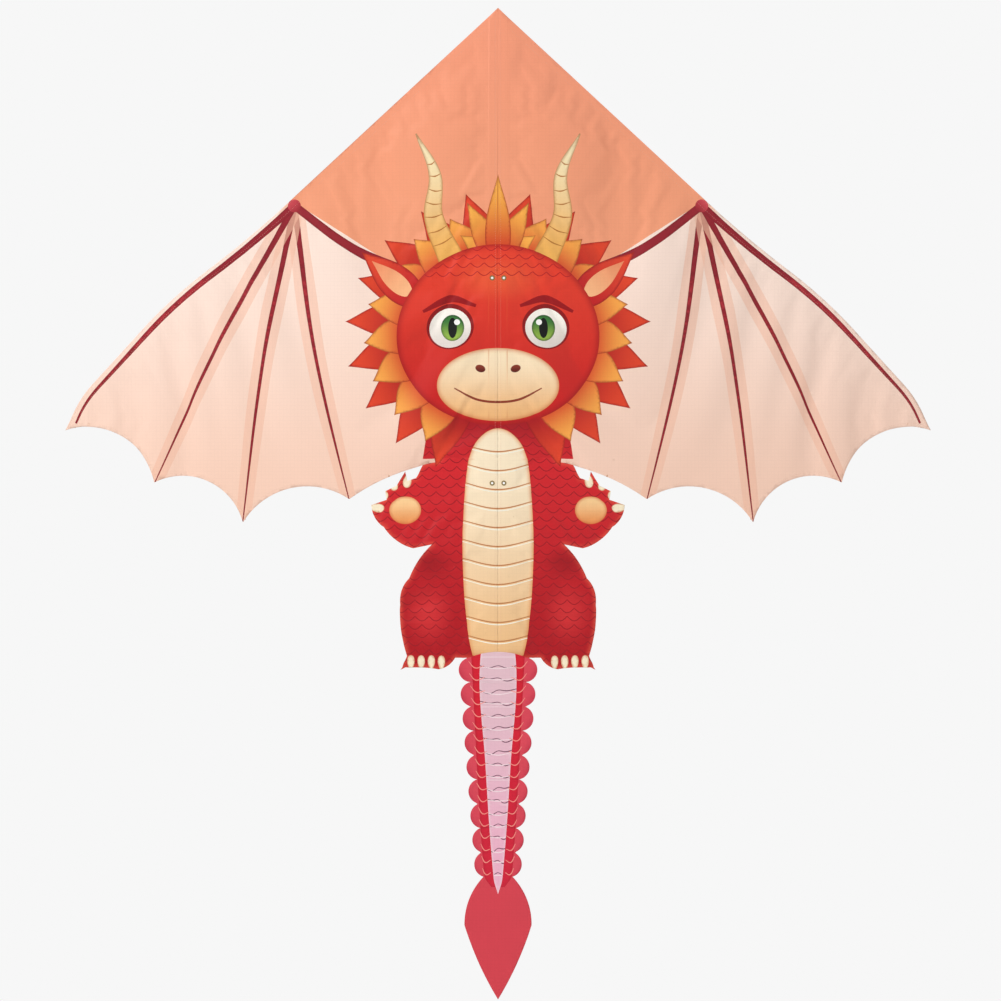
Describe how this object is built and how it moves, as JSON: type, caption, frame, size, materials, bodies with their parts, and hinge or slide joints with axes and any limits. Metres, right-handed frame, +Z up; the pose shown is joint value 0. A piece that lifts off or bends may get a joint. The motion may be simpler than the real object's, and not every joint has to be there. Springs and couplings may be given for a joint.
{
  "type": "dragon kite",
  "caption": "Delta kite shaped as a flying dragon: scalloped folding wings on a rod frame, cut-out figure below and a jointed spade tail.",
  "frame": {"origin": "on the spine line, in the front plane of the cloth, midway between the two upper bridle eyelets", "axes": "+Z up towards the nose; +X across to the wing that is on the right seen from the printed front; -Y out of the printed front"},
  "size_m": [1.1936, 0.0708, 1.3581],
  "materials": {
    "printed_cloth": "printed woven polyester, slight sheen",
    "tail_cloth": "printed woven polyester, slight sheen",
    "hem_cloth": "woven polyester hem tape",
    "pocket_webbing": "folded woven webbing",
    "fibreglass": "pultruded fibreglass, satin",
    "vinyl": "soft moulded vinyl, satin",
    "eyelet_metal": "pressed brass, polished"
  },
  "bodies": {
    "spine": {"centre_strip": "printed_cloth", "spine_sleeve": "hem_cloth", "spine_rod": "fibreglass", "spine_nose_cap": "vinyl", "spine_foot_cap": "vinyl", "nose_pocket": "pocket_webbing", "foot_pocket": "pocket_webbing", "centre_connector": "vinyl", "upper_eyelets": "eyelet_metal", "lower_eyelets": "eyelet_metal", "upper_patch": "hem_cloth", "lower_patch": "hem_cloth", "tail_tab": "tail_cloth", "connector_arm_left": "vinyl", "connector_arm_right": "vinyl"},
    "wing_left": {"sail_left": "printed_cloth", "tip_pocket_left": "pocket_webbing", "leading_sleeve_left": "hem_cloth", "leading_spar_left": "fibreglass", "spar_nose_cap_left": "vinyl", "spar_tip_cap_left": "vinyl", "leading_fitting_left": "vinyl", "stop_rings_left": "vinyl", "spreader_left": "fibreglass", "figure_left": "printed_cloth", "arm_pocket_left": "hem_cloth", "arm_batten_left": "fibreglass", "leg_pocket_left": "hem_cloth", "leg_batten_left": "fibreglass", "batten_caps_left": "vinyl"},
    "wing_right": {"sail_right": "printed_cloth", "tip_pocket_right": "pocket_webbing", "leading_sleeve_right": "hem_cloth", "leading_spar_right": "fibreglass", "spar_nose_cap_right": "vinyl", "spar_tip_cap_right": "vinyl", "leading_fitting_right": "vinyl", "stop_rings_right": "vinyl", "spreader_right": "fibreglass", "figure_right": "printed_cloth", "arm_pocket_right": "hem_cloth", "arm_batten_right": "fibreglass", "leg_pocket_right": "hem_cloth", "leg_batten_right": "fibreglass", "batten_caps_right": "vinyl"},
    "tail_1": {"tail_segment_1": "tail_cloth"},
    "tail_2": {"tail_segment_2": "tail_cloth"},
    "tail_3": {"tail_segment_3": "tail_cloth"},
    "tail_4": {"tail_segment_4": "tail_cloth"},
    "tail_end": {"tail_spade": "tail_cloth"}
  },
  "joints": [
    {"name": "wing_fold_right", "type": "hinge", "parent": "spine", "child": "wing_right", "pos_m": [0.0126, 0.00025, 0], "axis": [0, 0, 1], "range_deg": [-4, 78], "stiffness_Nm_per_rad": 0.03, "deforming": ["connector_arm_right"]},
    {"name": "wing_fold_left", "type": "hinge", "parent": "spine", "child": "wing_left", "pos_m": [-0.0126, 0.00025, 0], "axis": [0, 0, -1], "range_deg": [-4, 78], "stiffness_Nm_per_rad": 0.03, "deforming": ["connector_arm_left"]},
    {"name": "tail_seam", "type": "hinge", "parent": "spine", "child": "tail_1", "pos_m": [0, -0.00055, -0.52015], "axis": [1, 0, 0], "range_deg": [-35, 35]},
    {"name": "tail_bend_1", "type": "hinge", "parent": "tail_1", "child": "tail_2", "pos_m": [0, -0.00055, -0.58681], "axis": [1, 0, 0], "range_deg": [-35, 35]},
    {"name": "tail_bend_2", "type": "hinge", "parent": "tail_2", "child": "tail_3", "pos_m": [0, -0.00055, -0.65348], "axis": [1, 0, 0], "range_deg": [-35, 35]},
    {"name": "tail_bend_3", "type": "hinge", "parent": "tail_3", "child": "tail_4", "pos_m": [0, -0.00055, -0.72015], "axis": [1, 0, 0], "range_deg": [-35, 35]},
    {"name": "tail_bend_4", "type": "hinge", "parent": "tail_4", "child": "tail_end", "pos_m": [0, -0.00055, -0.78681], "axis": [1, 0, 0], "range_deg": [-35, 35]}
  ]
}
